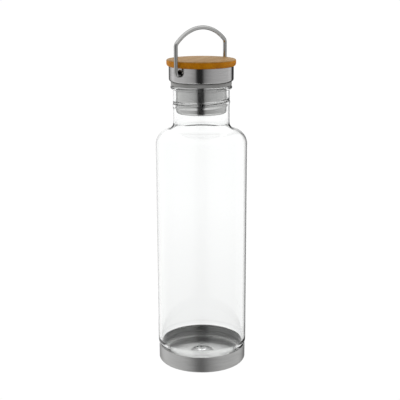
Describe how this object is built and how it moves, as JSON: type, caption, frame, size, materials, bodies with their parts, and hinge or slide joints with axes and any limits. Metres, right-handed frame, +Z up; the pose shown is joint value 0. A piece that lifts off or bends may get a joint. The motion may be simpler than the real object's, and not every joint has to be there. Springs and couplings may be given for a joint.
{
  "type": "water bottle",
  "caption": "Clear glass water bottle with a steel base cup and a screw-in steel lid with a bamboo top and a swinging wire carry handle.",
  "frame": {"origin": "centre of the ring the bottle stands on, at floor level", "axes": "+Z up along the bottle's axis, +X along the bail's pivot axis through the lid, +Y square to both"},
  "size_m": [0.074, 0.074, 0.2787],
  "materials": {
    "clear_glass": "clear polished glass",
    "cup_steel": "brushed round its axis",
    "bond_silicone": "translucent, satin",
    "seal_silicone": "matt grey silicone",
    "lid_steel": "brushed round its axis",
    "plug_steel": "satin",
    "core_plastic": "moulded, matt",
    "bush_plastic": "moulded, satin",
    "bamboo": "fine straight grain, oiled",
    "screw_steel": "plain",
    "bail_wire": "polished stainless wire"
  },
  "bodies": {
    "bottle": {"glass_body": "clear_glass", "base_cup": "cup_steel", "base_bond": "bond_silicone"},
    "seal": {"seal_ring": "seal_silicone"},
    "lid": {"lid_shell": "lid_steel", "thread_plug": "plug_steel", "lid_core": "core_plastic", "pivot_bush_left": "bush_plastic", "pivot_bush_right": "bush_plastic", "bamboo_disc": "bamboo", "disc_screw_1": "screw_steel", "disc_screw_2": "screw_steel", "disc_screw_3": "screw_steel"},
    "handle": {"bail_handle": "bail_wire"}
  },
  "joints": [
    {"name": "lid_lift", "type": "slide", "parent": "bottle", "child": "seal", "axis": [0, 0, 1], "range_m": [0, 0.02555]},
    {"name": "lid_turn", "type": "hinge", "parent": "seal", "child": "lid", "pos_m": [0, 0, 0.23521], "axis": [0, 0, 1], "range_deg": [0, 1530]},
    {"name": "handle_swing", "type": "hinge", "parent": "lid", "child": "handle", "pos_m": [0, 0, 0.24206], "axis": [1, 0, 0], "range_deg": [-135, 135]}
  ],
  "couplings": [
    {"joint": "lid_lift", "follows": "lid_turn", "m_per_rad": 0.00095493}
  ]
}
